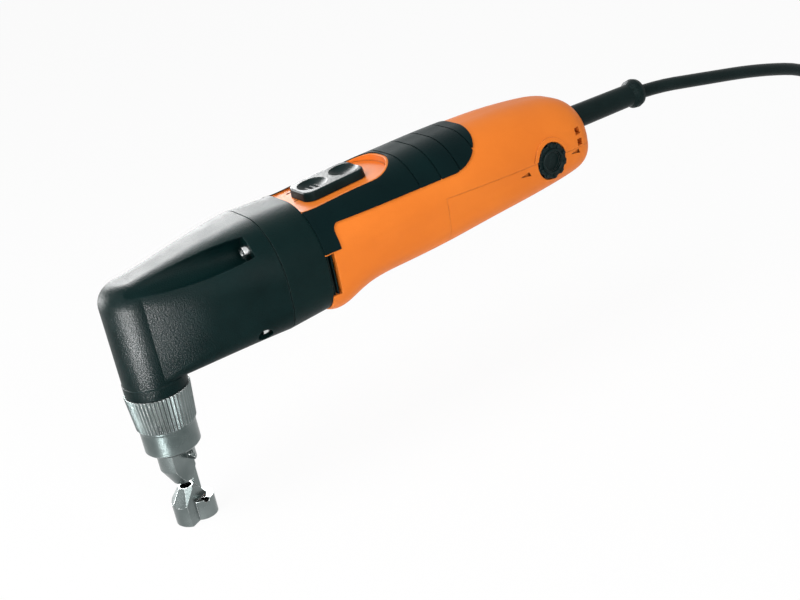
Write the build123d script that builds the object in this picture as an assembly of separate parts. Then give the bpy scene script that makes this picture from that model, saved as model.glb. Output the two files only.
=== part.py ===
# Hand-held electric nibbler: die head, gear head, motor housing and mains cord.
# X runs from the die to the cord and Z is up. The origin is on the die's foot, under the punch.

from build123d import *
import math
import os

os.makedirs("parts", exist_ok=True)

# Body, in millimetres
DATUM = 97.6  # height of the body's reference line above the die's foot
HEAD_LENGTH = 58.0  # die axis to the gear head's rear face
FLANGE_LENGTH = 21.0
HOUSING_LENGTH = 165.0
BODY_HALF = 32.0  # half width where the housing meets the flange
BODY_TOP = 30.6  # above the reference line, at the same place
BODY_LOW = 18.9  # below the reference line, at the same place
NOSE_RADIUS = 14.0
NOSE_TOP = 22.5
NOSE_LOW = 24.0
CROWN_ROOM = 0.62  # share of a section's height that its upper corners may take
WALL = 3.2
GRIP_PROUD = 0.6
GRIP_DEPTH = 1.8
COVER_LINE = 12.2  # front end of the rear cover's seam, above the reference line
COVER_START = 67.5  # housing front to the rear cover
COVER_TILT = 3.0  # fall of the seam towards the rear, in degrees
PANEL_LINE = 26.6  # front end of the switch panel, above the reference line
PANEL_SLOPE = 0.061  # rise of the panel towards the rear
PANEL_THICKNESS = 1.4

# Clearances
FIT = 0.05  # running fit
GAP = 0.3  # between bodies that move apart
SEAM = 0.15  # between fixed mouldings

# Die head
DIE_RADIUS = 8.4
DIE_BODY = 10.5
DIE_HEIGHT = 17.5
SHEET_GAP = 3.5
DIE_TURN = 3.0  # die head's swivel about the punch axis, in degrees
FLAT_ANGLE = 65.0
FLAT_DISTANCE = 4.2
POST_START = 3.9
POST_DEPTH = 2.6
POST_WIDTH = 2.6
HEEL_RADIUS = 6.4
HEEL_START = 5.2
CARRIER_RADIUS = 8.7
CARRIER_TIP = 4.6
CARRIER_CONE = 8.0
CARRIER_FLANGE = 10.8
FLANGE_DEPTH = 3.0
RING_RISE = 17.9  # carrier tip to the ring's lower edge
RING_HEIGHT = 29.3
RING_LIP = 7.5
RING_RADIUS = 15.0
RING_RIDGES = 52
NECK_RADIUS = 10.8
COLLAR_RADIUS = 14.3

# Ram and eccentric
PUNCH_RADIUS = 2.5
RAM_RADIUS = 7.5
RAM_LENGTH = 56.0
BUSH_WALL = 1.8
THROW = 2.4
PIN_RADIUS = 1.8
ROLLER_RADIUS = 2.5
CRANK_RADIUS = 8.0

# Gears
MODULE = 0.75
PINION_TEETH = 8
GEAR_TEETH = 28
TOOTH_SHIFT = 0.5
PRESSURE = math.radians(20.0)
BACKLASH = 0.06

# Motor
MOTOR_RISE = 8.0  # motor axis above the reference line
SHAFT_RADIUS = 4.0
CORE_RADIUS = 13.0
CORE_LENGTH = 40.0
AIR_GAP = 0.4
STATOR_RADIUS = 23.0
STATOR_HALF = 16.0
FAN_ROOM = 15.0  # housing wall and screw bosses outside the fan
COMMUTATOR_RADIUS = 9.0
COIL_WIRE = 2.1

# Switch, speed dial and cord
SWITCH_TRAVEL = 6.0
SLIDER_LENGTH = 33.0
SLIDER_WIDTH = 20.0
SLIDER_HEIGHT = 4.2
DIAL_RADIUS = 8.75
DIAL_DEPTH = 5.8
CORD_RISE = 13.8  # cord axis above the reference line
CORD_DIAMETER = 7.0
SLEEVE_LENGTH = 50.0  # outside the housing

# Put-away hank of cord
HANK_X = 640.0
HANK_REACH = 84.0  # innermost end turn, from the hank's middle
HANK_FOLD = 21.0  # radius of the innermost end turn
HANK_PITCH = 8.0
WAIST_PITCH = 8.8
WAIST_START = 9.0
HANK_LAYER = 7.6
TIE_THICKNESS = 1.2
TIE_WIDTH = 12.0
PLUG_THICKNESS = 26.0

# Places that follow from the sizes above
flange_x = HEAD_LENGTH
grip_x = flange_x + FLANGE_LENGTH
rear_x = grip_x + HOUSING_LENGTH
cover_x = grip_x + COVER_START
cover_z = DATUM + COVER_LINE
motor_z = DATUM + MOTOR_RISE
gear_spread = MODULE * (PINION_TEETH + GEAR_TEETH) / 2
drive_z = motor_z - gear_spread
stroke = 2 * THROW
cord_z = DATUM + CORD_RISE
cord_radius = CORD_DIAMETER / 2
carrier_low = DIE_HEIGHT + SHEET_GAP
ring_low = carrier_low + RING_RISE
ring_top = ring_low + RING_HEIGHT
carrier_flange_low = ring_low + RING_LIP + GAP
carrier_top = carrier_flange_low + FLANGE_DEPTH
neck_low = carrier_top + GAP
ram_low = neck_low + 4.0
ram_top = ram_low + RAM_LENGTH
bush_radius = RAM_RADIUS + BUSH_WALL
pieces = {}


# Plain helpers: round bars along each axis, blocks, and the body's cross section
def rod_x(radius, start, end, y=0.0, z=0.0):
    return Pos((start + end) / 2, y, z) * Rot(0, 90, 0) * Cylinder(radius, end - start)


def rod_y(radius, start, end, x=0.0, z=0.0):
    return Pos(x, (start + end) / 2, z) * Rot(90, 0, 0) * Cylinder(radius, end - start)


def rod_z(radius, start, end, x=0.0, y=0.0):
    return Pos(x, y, (start + end) / 2) * Cylinder(radius, end - start)


def block(x0, x1, y0, y1, z0, z1):
    return Pos((x0 + x1) / 2, (y0 + y1) / 2, (z0 + z1) / 2) * Box(x1 - x0, y1 - y0, z1 - z0)


def turned(axis, *points):
    """Solid of revolution of a closed outline given as (radius, along) points."""
    plane = Plane.XZ if axis == Axis.Z else Plane(origin=(0, 0, 0), x_dir=(0, 0, 1), z_dir=(0, 1, 0))
    return revolve(plane * make_face(Polyline(*points, close=True)), axis)


def section(x, half, top, low, crown, heel, grow=0.0):
    """Flat-bottomed round section: crown and heel are the corners' shares of the room there."""
    round_top = crown * min(half, CROWN_ROOM * (top - low))
    round_low = heel * (top - low - round_top)
    half, top, low = half + grow, top + grow, low - grow
    round_top, round_low = round_top + grow, round_low + grow
    corners = (
        (half - round_low, low + round_low, round_low, -90),
        (half - round_top, top - round_top, round_top, 0),
        (round_top - half, top - round_top, round_top, 90),
        (round_low - half, low + round_low, round_low, 180),
    )
    arcs = [CenterArc((y, z), radius, angle, 90) for y, z, radius, angle in corners]
    joins = [Line(arc @ 1, arcs[(i + 1) % 4] @ 0) for i, arc in enumerate(arcs)]
    plane = Plane(origin=(x, 0, DATUM), x_dir=(0, 1, 0), z_dir=(1, 0, 0))
    return plane * make_face(arcs + joins)


def body(stations, grow=0.0, tail=0.0):
    """Loft through sections; a tail draws the rearmost ones in by that wall."""
    faces = []
    for x, *shape in stations:
        shifted = min(x, rear_x - tail - 0.8 * (rear_x - x)) if tail else x
        faces.append(section(shifted, *shape, grow=grow))
    return loft(faces)


# Sections of the gear head and of the housing: x, half width, top, low, corner shares
joint_half, joint_top, joint_low = BODY_HALF + 0.3, BODY_TOP + 0.4, BODY_LOW + 1.0
head_stations = (
    (0, NOSE_RADIUS, NOSE_TOP, -NOSE_LOW, 0.68, 0.08),
    (HEAD_LENGTH * 0.34, joint_half * 0.65, 25.8, -22.6, 0.81, 0.26),
    (HEAD_LENGTH * 0.69, joint_half * 0.85, 29.0, -20.9, 0.82, 0.44),
    (flange_x, joint_half, joint_top, -joint_low, 0.845, 0.61),
)
flange_stations = (
    (flange_x, joint_half, joint_top, -joint_low, 0.845, 0.61),
    (grip_x, BODY_HALF - 0.4, BODY_TOP + 0.2, 0.4 - BODY_LOW, 0.87, 0.655),
)
housing_shape = (
    (0.000, 1.000, 0.0, 0.0, 0.87, 0.67),
    (0.108, 0.994, 0.7, 2.4, 0.90, 0.70),
    (0.174, 0.988, 1.4, 5.0, 0.93, 0.735),
    (0.246, 0.978, 1.9, 5.6, 0.93, 0.73),
    (0.425, 0.947, 3.2, 6.9, 0.925, 0.675),
    (0.575, 0.906, 3.8, 8.6, 0.91, 0.65),
    (0.725, 0.844, 3.8, 9.8, 0.90, 0.63),
    (0.844, 0.791, 2.3, 11.0, 0.91, 0.675),
    (0.916, 0.750, 0.3, 12.1, 0.92, 0.74),
    (0.952, 0.703, -1.8, 13.2, 0.935, 0.79),
    (0.982, 0.594, -5.1, 15.9, 0.96, 0.825),
    (1.000, 0.406, -9.6, 19.9, 0.97, 0.81),
)
housing_stations = [
    (grip_x + along * HOUSING_LENGTH, BODY_HALF * half, BODY_TOP + top, low - BODY_LOW, *corners)
    for along, half, top, low, *corners in housing_shape
]
housing_outer = body(housing_stations)
housing_inner = body(housing_stations, -WALL, WALL)
housing_proud = body(housing_stations[:9], GRIP_PROUD)
housing_sunk = body(housing_stations[:7], -GRIP_DEPTH)
housing_core = body(housing_stations, -WALL - SEAM, WALL + SEAM)

# Long screws that hold head, flange and housing together, and the openings that reach their heads
screw_radius = 2.0
screw_head_radius = 2.7
screw_head = 2.8
screw_seat_x = HEAD_LENGTH - 8.5
screw_end_x = grip_x + 10.0
boss_end_x = grip_x + 13.0
boss_radius = 4.6
upper_screw = (BODY_HALF - 13.0, DATUM + BODY_TOP - 9.4)
lower_screw = (BODY_HALF - 9.4, DATUM + 6.2 - BODY_LOW)
screw_places = [(side * y, z) for y, z in (upper_screw, lower_screw) for side in (-1, 1)]
channel_radius = 6.6
channel_lean = (0.083, -0.055)  # inward and upward, for each millimetre towards the nose
pocket_radius = 3.5
pocket_way = (-0.35, 0.75, -0.56)


def screw_opening(y, z, grow=0.0):
    """Long channel over an upper screw, short slanting pocket at a lower one."""
    side = math.copysign(1, y)
    behind = block(screw_seat_x + grow, screw_seat_x + 40, -60, 60, 0, 200)
    if z > DATUM:
        way = Vector(-1, -side * channel_lean[0], -channel_lean[1])
        start = Vector(screw_seat_x, y, z) - way * 10
        bore = Plane(origin=start, z_dir=way) * Cylinder(
            channel_radius + grow, 75, align=(Align.CENTER, Align.CENTER, Align.MIN)
        )
        return bore - behind
    way = Vector(pocket_way[0], side * pocket_way[1], pocket_way[2])
    bore = Plane(origin=(screw_seat_x - screw_head, y, z), z_dir=way) * Cylinder(
        pocket_radius + grow, 20, align=(Align.CENTER, Align.CENTER, Align.MIN)
    )
    well = rod_x(pocket_radius + grow, screw_seat_x - 2 * screw_head, screw_seat_x + grow, y, z)
    return bore + well - behind


def socket_screw(radius, head_radius, head, length):
    """Screw pointing up +Z from the seat of its head, with a hexagon socket."""
    shape = rod_z(radius, 0, length) + rod_z(head_radius, -head, 0)
    return shape - Pos(0, 0, -head) * extrude(RegularPolygon(head_radius * 0.55, 6), head * 0.6)


def bearing(bore, outer, x0, x1, z):
    """Ball bearing on the X axis with a sunk shield between its two rings."""
    middle = (bore + outer) / 2
    land = (outer - bore) * 0.2
    width = x1 - x0
    sink = width * 0.08
    ring = turned(
        Axis.X,
        (bore, 0), (middle - land, 0), (middle - land, sink), (middle + land, sink), (middle + land, 0),
        (outer, 0), (outer, width), (middle + land, width), (middle + land, width - sink),
        (middle - land, width - sink), (middle - land, width), (bore, width),
    )
    return Pos(x0, 0, z) * ring


# Gear head: aluminium casting over the ram, the eccentric and the reduction gear
front_bearing_outer = 9.5
front_bearing_x = HEAD_LENGTH * 0.276
front_bearing_width = 5.0
chamber_x = front_bearing_x + front_bearing_width + SEAM
nose_round = 0.68 * NOSE_RADIUS
nose_low = DATUM - NOSE_LOW
nose_top = DATUM + NOSE_TOP
collar_low = ring_top + GAP
ram_bore_top = nose_top - 6.0

nose_outline = [
    Line((0, neck_low), (NECK_RADIUS, neck_low)),
    Line((NECK_RADIUS, neck_low), (NECK_RADIUS, collar_low)),
    Line((NECK_RADIUS, collar_low), (COLLAR_RADIUS, collar_low)),
    Line((COLLAR_RADIUS, collar_low), (COLLAR_RADIUS, nose_low)),
    Line((COLLAR_RADIUS, nose_low), (NOSE_RADIUS, nose_low)),
    Line((NOSE_RADIUS, nose_low), (NOSE_RADIUS, nose_top - nose_round)),
    CenterArc((NOSE_RADIUS - nose_round, nose_top - nose_round), nose_round, 0, 90),
    Line((NOSE_RADIUS - nose_round, nose_top), (0, nose_top)),
    Line((0, nose_top), (0, neck_low)),
]
gear_head = body(head_stations) + revolve(Plane.XZ * make_face(nose_outline), Axis.Z)
gear_chamber = body(head_stations[1:], -WALL) & block(chamber_x, flange_x, -60, 60, 0, 200)
for y, z in screw_places:
    gear_chamber -= screw_opening(y, z, 2.2) + rod_x(boss_radius, screw_seat_x, flange_x, y, z)
gear_head -= gear_chamber
for y, z in screw_places:
    gear_head -= screw_opening(y, z)
    gear_head -= rod_x(screw_radius + SEAM, screw_seat_x, flange_x, y, z)
gear_head -= rod_z(bush_radius, neck_low, ram_bore_top)
gear_head -= rod_x(CRANK_RADIUS + 2 * GAP, 0, front_bearing_x, 0, drive_z)
gear_head -= rod_x(front_bearing_outer, front_bearing_x, chamber_x, 0, drive_z)
pieces["gear_head"] = gear_head

# Knurled union ring that clamps the die head to the neck
knurl_low = ring_low + 12.6
knurl_taper = 0.91
ring_bore = NECK_RADIUS + GAP


def knurl(z, scale):
    points = []
    for i in range(2 * RING_RIDGES):
        radius = scale * (RING_RADIUS if i % 2 else RING_RADIUS - 0.8)
        angle = math.pi * i / RING_RIDGES
        points.append((radius * math.cos(angle), radius * math.sin(angle)))
    return Pos(0, 0, z) * Polygon(*points, align=None)


knurled = loft([knurl(knurl_low, knurl_taper), knurl(ring_top, 1.0)], ruled=True)
band_top = (RING_RADIUS - 0.8) * knurl_taper
band_side = band_top - 0.2
ring_band = turned(
    Axis.Z,
    (0, ring_low), (band_side - 1.0, ring_low), (band_side, ring_low + 1.1),
    (band_side, knurl_low - 1.6), (band_top, knurl_low - 0.9), (band_top, knurl_low), (0, knurl_low),
)
union_ring = knurled + ring_band
union_ring -= rod_z(ring_bore, ring_low + RING_LIP, ring_top)
union_ring -= rod_z(CARRIER_RADIUS + GAP, ring_low, ring_low + RING_LIP)
pieces["union_ring"] = union_ring

# Die carrier: flanged sleeve that guides the punch, flattened on both sides, with a slot for the die's post
guide_radius = PUNCH_RADIUS + FIT
recess_low = carrier_top - 9.5
shoulder_z = carrier_low + 10.0
flat_top = ring_low - 1.5
post_top = ring_low - 3.0
post_end = POST_START + POST_DEPTH
post_half = POST_WIDTH / 2
die_pin_x = (POST_START + post_end) / 2
die_pin_z = post_top - 2.5
die_pin_radius = 1.0
die_frame = Rot(0, 0, DIE_TURN)


def side_flats(low, high, rear=20.0):
    """Material cut away beside the punch, as far to the rear as given."""
    cuts = []
    for side in (-1, 1):
        near, far = sorted((side * 20.0, -side * rear))
        cuts.append(Rot(0, 0, side * FLAT_ANGLE) * block(FLAT_DISTANCE, 20, near, far, low, high))
    return cuts


die_carrier = turned(
    Axis.Z,
    (guide_radius, carrier_low), (CARRIER_TIP, carrier_low), (CARRIER_RADIUS, carrier_low + CARRIER_CONE),
    (CARRIER_RADIUS, carrier_flange_low), (CARRIER_FLANGE, carrier_flange_low), (CARRIER_FLANGE, carrier_top),
    (RAM_RADIUS + GAP, carrier_top), (RAM_RADIUS + GAP, recess_low), (guide_radius, recess_low),
)
die_carrier -= side_flats(carrier_low, shoulder_z) + side_flats(shoulder_z, flat_top, 2.0)
die_carrier -= block(POST_START - FIT, 20, -post_half - FIT, post_half + FIT, carrier_low, post_top + FIT)
die_carrier -= rod_y(die_pin_radius, -CARRIER_RADIUS, CARRIER_RADIUS, die_pin_x, die_pin_z)
pieces["die_carrier"] = die_frame * die_carrier

# Die: flattened foot with a round heel, faceted cutting end, chip exit and the slim post up to the carrier
die_hole = PUNCH_RADIUS + GAP
foot_edge = 0.5
facet_low = DIE_BODY - 0.5
facet_turn = 28.0
facets = Rot(0, 0, facet_turn) * extrude(RegularPolygon(9.2, 7), DIE_HEIGHT - facet_low, taper=33)
die = turned(
    Axis.Z,
    (0, 0), (DIE_RADIUS - foot_edge, 0), (DIE_RADIUS, foot_edge), (DIE_RADIUS, facet_low), (0, facet_low),
)
die += (Pos(0, 0, facet_low) * facets) & rod_z(DIE_RADIUS, 0, DIE_HEIGHT)
die -= side_flats(0, DIE_HEIGHT)
die += rod_z(HEEL_RADIUS, 0, DIE_BODY - 1.0, HEEL_START)
die += block(POST_START, post_end, -post_half, post_half, 0, post_top)
die -= rod_z(die_hole, 3.0, DIE_HEIGHT)
chip_exit = Plane(origin=(2.0, 0, 5.0), z_dir=(4.5, -7.5, 6.0))
die -= chip_exit * Cylinder(1.5, 20, align=(Align.CENTER, Align.CENTER, Align.MIN))
die -= rod_y(die_pin_radius, -post_half, post_half, die_pin_x, die_pin_z)
pieces["die"] = die_frame * die
die_pin_half = CARRIER_RADIUS - 2.7
pieces["die_pin"] = die_frame * rod_y(die_pin_radius, -die_pin_half, die_pin_half, die_pin_x, die_pin_z)

# Ram with its cross slot, the punch it carries and the two guide bushes
slot_mid = drive_z + THROW
slot_half = stroke + ROLLER_RADIUS + GAP
slot_side = THROW + ROLLER_RADIUS + GAP
punch_top = ram_low + 12.0
punch_low = carrier_low + 0.5
pin_z = ram_low + 6.0
pin_radius = 1.0
ram = rod_z(RAM_RADIUS, ram_low, ram_top)
ram = chamfer(ram.edges().filter_by(GeomType.CIRCLE), 0.6)
ram -= block(-20, 20, -slot_side, slot_side, slot_mid - slot_half, slot_mid + slot_half)
ram -= rod_z(PUNCH_RADIUS, ram_low, punch_top)
ram -= rod_y(pin_radius, -RAM_RADIUS, RAM_RADIUS, 0, pin_z)
pieces["ram"] = ram
pieces["punch"] = rod_z(PUNCH_RADIUS, punch_low, punch_top) - rod_y(pin_radius, -9, 9, 0, pin_z)
pieces["punch_pin"] = rod_y(pin_radius, 0.7 - RAM_RADIUS, RAM_RADIUS - 0.7, 0, pin_z)
bush_bore = RAM_RADIUS + FIT
lower_bush_top = slot_mid - slot_half - stroke - 5.0
upper_bush_low = slot_mid + slot_half + 1.0
pieces["lower_ram_bush"] = rod_z(bush_radius, neck_low + 2.0, lower_bush_top) - rod_z(bush_bore, 0, 200)
pieces["upper_ram_bush"] = rod_z(bush_radius, upper_bush_low, ram_bore_top) - rod_z(bush_bore, 0, 200)

# Eccentric shaft, its roller and its two bearings
disc_x = RAM_RADIUS + 3.0
disc_end = front_bearing_x - 2 * GAP
pin_start = -5.0
pin_axis = drive_z + THROW
front_bore = 5.0
gear_bore = 4.0
rear_bore = 2.5
gear_x = HEAD_LENGTH - 14.0
gear_end = HEAD_LENGTH - 5.0
rear_bearing_outer = 8.0
rear_bearing_x = flange_x + GAP
rear_bearing_end = rear_bearing_x + 5.0
eccentric = rod_x(CRANK_RADIUS, disc_x, disc_end, 0, drive_z)
eccentric -= block(disc_x, disc_end, -20, 20, drive_z + CRANK_RADIUS * 0.72, drive_z + 20)
eccentric += rod_x(PIN_RADIUS, pin_start, disc_x, 0, pin_axis)
eccentric += rod_x(front_bore, disc_end, gear_x - 10.0, 0, drive_z)
eccentric += rod_x(gear_bore, gear_x - 10.0, flange_x - GAP, 0, drive_z)
eccentric += rod_x(rear_bore, flange_x - GAP, rear_bearing_end, 0, drive_z)
pieces["eccentric_shaft"] = eccentric
roller = rod_x(ROLLER_RADIUS, pin_start + 0.5, disc_x - GAP, 0, pin_axis)
pieces["eccentric_roller"] = roller - rod_x(PIN_RADIUS, pin_start, disc_x, 0, pin_axis)
front_bearing_end = front_bearing_x + front_bearing_width
pieces["front_drive_bearing"] = bearing(
    front_bore, front_bearing_outer, front_bearing_x, front_bearing_end, drive_z
)
pieces["rear_drive_bearing"] = bearing(
    rear_bore, rear_bearing_outer, rear_bearing_x, rear_bearing_end, drive_z
)


# Reduction gear and pinion with involute flanks, each flank one arc through three involute points
def toothed(teeth, shift, tip, root, first):
    pitch = MODULE * teeth / 2
    base = pitch * math.cos(PRESSURE)
    thick = MODULE * (math.pi / 2 + 2 * shift * math.tan(PRESSURE)) - BACKLASH
    start = thick / (2 * pitch) + math.tan(PRESSURE) - PRESSURE

    def half_angle(radius):
        angle = math.acos(min(1.0, base / radius))
        return start - math.tan(angle) + angle

    def polar(radius, angle):
        return (radius * math.cos(angle), radius * math.sin(angle))

    low = max(root, base)
    middle = (low + tip) / 2
    edges = []
    for i in range(teeth):
        centre = first + 2 * math.pi * i / teeth
        rise = [polar(r, centre - half_angle(r)) for r in (low, middle, tip)]
        fall = [polar(r, centre + half_angle(r)) for r in (tip, middle, low)]
        foot = polar(root, centre - half_angle(low))
        heel = polar(root, centre + half_angle(low))
        valley = polar(root, centre + math.pi / teeth)
        following = polar(root, centre + 2 * math.pi / teeth - half_angle(low))
        edges += [Line(foot, rise[0]), ThreePointArc(*rise), Line(rise[2], fall[0])]
        edges += [ThreePointArc(*fall), Line(fall[2], heel), ThreePointArc(heel, valley, following)]
    return make_face(edges)


addendum = MODULE * (1 - TOOTH_SHIFT)
dedendum = MODULE * (1.25 + TOOTH_SHIFT)
gear_pitch = MODULE * GEAR_TEETH / 2
pinion_pitch = MODULE * PINION_TEETH / 2
across = Plane(origin=(0, 0, 0), x_dir=(0, 1, 0), z_dir=(1, 0, 0))
gear_face = toothed(GEAR_TEETH, -TOOTH_SHIFT, gear_pitch + addendum, gear_pitch - dedendum, math.pi / 2)
drive_gear = Pos(gear_x, 0, drive_z) * extrude(across * gear_face, gear_end - gear_x)
gear_rim = gear_pitch - dedendum - 1.5
gear_hub = gear_bore + 2.0
for x0, x1 in ((gear_x, gear_x + 2.0), (gear_end - 2.0, gear_end)):
    drive_gear -= rod_x(gear_rim, x0, x1, 0, drive_z) - rod_x(gear_hub, x0, x1, 0, drive_z)
drive_gear -= rod_x(gear_bore, gear_x, gear_end, 0, drive_z)
pieces["drive_gear"] = drive_gear
pinion_tip = pinion_pitch + MODULE * (1 + TOOTH_SHIFT) - 0.275
pinion_root = pinion_pitch - MODULE * (1.25 - TOOTH_SHIFT)
pinion_start = gear_x - 0.5
pinion_end = gear_end + 1.5
spigot_radius = 1.5
pinion_face = toothed(PINION_TEETH, TOOTH_SHIFT, pinion_tip, pinion_root, math.pi / PINION_TEETH)
pinion = Pos(pinion_start, 0, motor_z) * extrude(across * pinion_face, pinion_end - pinion_start)
pieces["pinion"] = pinion - rod_x(spigot_radius, pinion_start, pinion_end, 0, motor_z)

# Motor flange: ring between gear head and housing that carries two bearings
bulkhead_end = rear_bearing_end + 1.0
motor_bearing_x = bulkhead_end + 1.6
motor_bearing_end = motor_bearing_x + 7.0
motor_bearing_outer = 11.0
flange_outer = body(flange_stations)
joint_width, joint_depth = 0.45, 0.7
motor_flange = flange_outer - (
    block(flange_x, flange_x + joint_width, -60, 60, 0, 200) - body(flange_stations, -joint_depth)
)
motor_flange -= body(flange_stations, -WALL) & block(bulkhead_end, grip_x, -60, 60, 0, 200)
motor_flange += rod_x(motor_bearing_outer + 2.5, bulkhead_end, motor_bearing_end, 0, motor_z)
for y, z in screw_places:
    motor_flange += rod_x(boss_radius, bulkhead_end, grip_x, y, z) & flange_outer
    motor_flange -= rod_x(screw_radius + SEAM, flange_x, grip_x, y, z)
motor_flange -= rod_x(motor_bearing_outer, motor_bearing_x, motor_bearing_end, 0, motor_z)
motor_flange -= rod_x(SHAFT_RADIUS + 2 * GAP, flange_x, motor_bearing_x, 0, motor_z)
motor_flange -= rod_x(rear_bearing_outer, flange_x, rear_bearing_end, 0, drive_z)
pieces["motor_flange"] = motor_flange

# Armature: shaft, fan, slotted core with its winding, commutator and two bearings
fan_x = grip_x + 4.5
fan_end = fan_x + 8.5
fan_radius = BODY_HALF - FAN_ROOM
core_x = grip_x + 19.0
core_end = core_x + CORE_LENGTH
winding_reach = 5.0
commutator_x = core_end + 8.0
commutator_end = commutator_x + 12.0
rear_journal = 3.5
web_x = commutator_end + 1.0
tail_bearing_x = web_x + 3.0
tail_bearing_end = tail_bearing_x + 6.0
tail_bearing_outer = 9.5
shaft = rod_x(SHAFT_RADIUS, pinion_end, tail_bearing_x - 1.0, 0, motor_z)
shaft += rod_x(spigot_radius, pinion_start, pinion_end, 0, motor_z)
shaft += rod_x(rear_journal, tail_bearing_x - 1.0, tail_bearing_end, 0, motor_z)
pieces["armature_shaft"] = shaft
pieces["front_motor_bearing"] = bearing(
    SHAFT_RADIUS, motor_bearing_outer, motor_bearing_x, motor_bearing_end, motor_z
)
pieces["rear_motor_bearing"] = bearing(
    rear_journal, tail_bearing_outer, tail_bearing_x, tail_bearing_end, motor_z
)

fan_hub = 6.5
blades = 11
blade_tip = fan_radius - 0.5
blade = Pos((fan_x + fan_end) / 2, 2.5, (fan_hub + blade_tip) / 2) * Rot(12, 0, 0) * Box(
    fan_end - fan_x, 1.2, blade_tip - fan_hub
)
fan = rod_x(fan_radius, fan_end - 1.5, fan_end, 0, motor_z) + rod_x(fan_hub, fan_x, fan_end, 0, motor_z)
for i in range(blades):
    fan += Pos(0, 0, motor_z) * Rot(360 * i / blades, 0, 0) * blade
pieces["fan"] = fan - rod_x(SHAFT_RADIUS, fan_x, fan_end, 0, motor_z)

slots = 12
slot_radius = 1.5
slot_circle = CORE_RADIUS - 2.6
core = rod_x(CORE_RADIUS, core_x, core_end, 0, motor_z) - rod_x(SHAFT_RADIUS, core_x, core_end, 0, motor_z)
winding = rod_x(slot_circle + 1.0, core_x - winding_reach, core_x, 0, motor_z)
winding += rod_x(slot_circle + 1.0, core_end, core_end + winding_reach + 2.0, 0, motor_z)
for i in range(slots):
    turn = Pos(0, 0, motor_z) * Rot(360 * i / slots, 0, 0)
    core -= turn * rod_x(slot_radius, core_x, core_end, 0, slot_circle)
    core -= turn * block(core_x, core_end, -0.5, 0.5, slot_circle, CORE_RADIUS + 1)
    winding += turn * rod_x(slot_radius - SEAM, core_x, core_end, 0, slot_circle)
pieces["armature_core"] = core
pieces["armature_winding"] = winding - rod_x(SHAFT_RADIUS, core_x - 9, core_end + 9, 0, motor_z)

segments = 22
commutator = rod_x(COMMUTATOR_RADIUS, commutator_x, commutator_end, 0, motor_z)
for i in range(segments):
    groove = block(commutator_x, commutator_end, -0.25, 0.25, COMMUTATOR_RADIUS - 0.8, COMMUTATOR_RADIUS + 1)
    commutator -= Pos(0, 0, motor_z) * Rot(360 * i / segments, 0, 0) * groove
pieces["commutator"] = commutator - rod_x(SHAFT_RADIUS, commutator_x, commutator_end, 0, motor_z)

# Stator core with flat top and bottom, and its two field coils
coil_y = CORE_RADIUS + 1.2
coil_z = STATOR_HALF - 4.8
coil_reach = COIL_WIRE + 1.4
stator_blank = rod_x(STATOR_RADIUS, core_x, core_end, 0, motor_z)
stator_blank &= block(core_x, core_end, -60, 60, motor_z - STATOR_HALF, motor_z + STATOR_HALF)
stator = stator_blank - rod_x(CORE_RADIUS + AIR_GAP, core_x, core_end, 0, motor_z)
for y in (-coil_y, coil_y):
    for z in (-coil_z, coil_z):
        stator -= rod_x(COIL_WIRE + SEAM, core_x, core_end, y, motor_z + z)
pieces["stator_core"] = stator
for name, y in (("left_field_coil", -coil_y), ("right_field_coil", coil_y)):
    coil_plane = Plane(
        origin=((core_x + core_end) / 2, y, motor_z), x_dir=(1, 0, 0), z_dir=(0, -1, 0)
    )
    loop = (coil_plane * RectangleRounded(CORE_LENGTH + 2 * coil_reach, 2 * coil_z, COIL_WIRE + 1.2)).wire()
    start = Plane(origin=loop @ 0, z_dir=loop % 0)
    pieces[name] = sweep(start * Circle(COIL_WIRE), path=loop)

# Brush holders on the rear web, with their carbon brushes on the commutator
holder_x = commutator_x + 2.0
brush_half = 3.2
brush_x = holder_x + 1.8
brush_end = brush_x + 5.4
holder_start = COMMUTATOR_RADIUS + 1.2
holder_room = 7.8  # shell and taper of the housing outside the holders
holder_end = BODY_HALF - holder_room
brush_contact = rod_x(COMMUTATOR_RADIUS + FIT, commutator_x, commutator_end, 0, motor_z)
for side, sign in (("left", -1), ("right", 1)):
    near, far = sorted((sign * holder_start, sign * holder_end))
    holder = block(holder_x, web_x, near, far, motor_z - brush_half - 1.4, motor_z + brush_half + 1.4)
    channel = block(brush_x, brush_end, near, far, motor_z - brush_half, motor_z + brush_half)
    pieces[side + "_brush_holder"] = holder - channel
    tip, back = sorted((sign * (COMMUTATOR_RADIUS - 2), sign * (holder_start + 9.0)))
    brush = block(
        brush_x + FIT, brush_end - FIT, tip, back, motor_z - brush_half + FIT, motor_z + brush_half - FIT
    )
    pieces[side + "_carbon_brush"] = brush - brush_contact

# Rubber grip inlay: saddle over the housing with a window for the switch
grip_edge = DATUM + 21.0
grip_start = DATUM + 10.5
grip_outline = [
    Line((grip_x, DATUM + 60), (grip_x, grip_start)),
    Line((grip_x, grip_start), (grip_x + 8.5, grip_start)),
    Line((grip_x + 8.5, grip_start), (grip_x + 8.5, grip_edge - 3.5)),
    CenterArc((grip_x + 12.0, grip_edge - 3.5), 3.5, 180, -90),
    Line((grip_x + 12.0, grip_edge), (grip_x + 77.0, grip_edge)),
    RadiusArc((grip_x + 77.0, grip_edge), (grip_x + 98.0, grip_edge + 15.0), -26.0),
    Line((grip_x + 98.0, grip_edge + 15.0), (grip_x + 98.0, DATUM + 60)),
    Line((grip_x + 98.0, DATUM + 60), (grip_x, DATUM + 60)),
]
grip_zone = extrude(Plane.XZ * make_face(grip_outline), 60, both=True)
window_length = 54.0
window_half = 17.0
window_rim = 1.2


def window(grow=0.0):
    """Switch opening: straight sides from the flange, nearly half round at the rear."""
    outline = RectangleRounded(2 * (window_length + grow), 2 * (window_half + grow), window_half - 1.0 + grow)
    return Pos(grip_x, 0, DATUM) * extrude(outline, 60)


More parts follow.
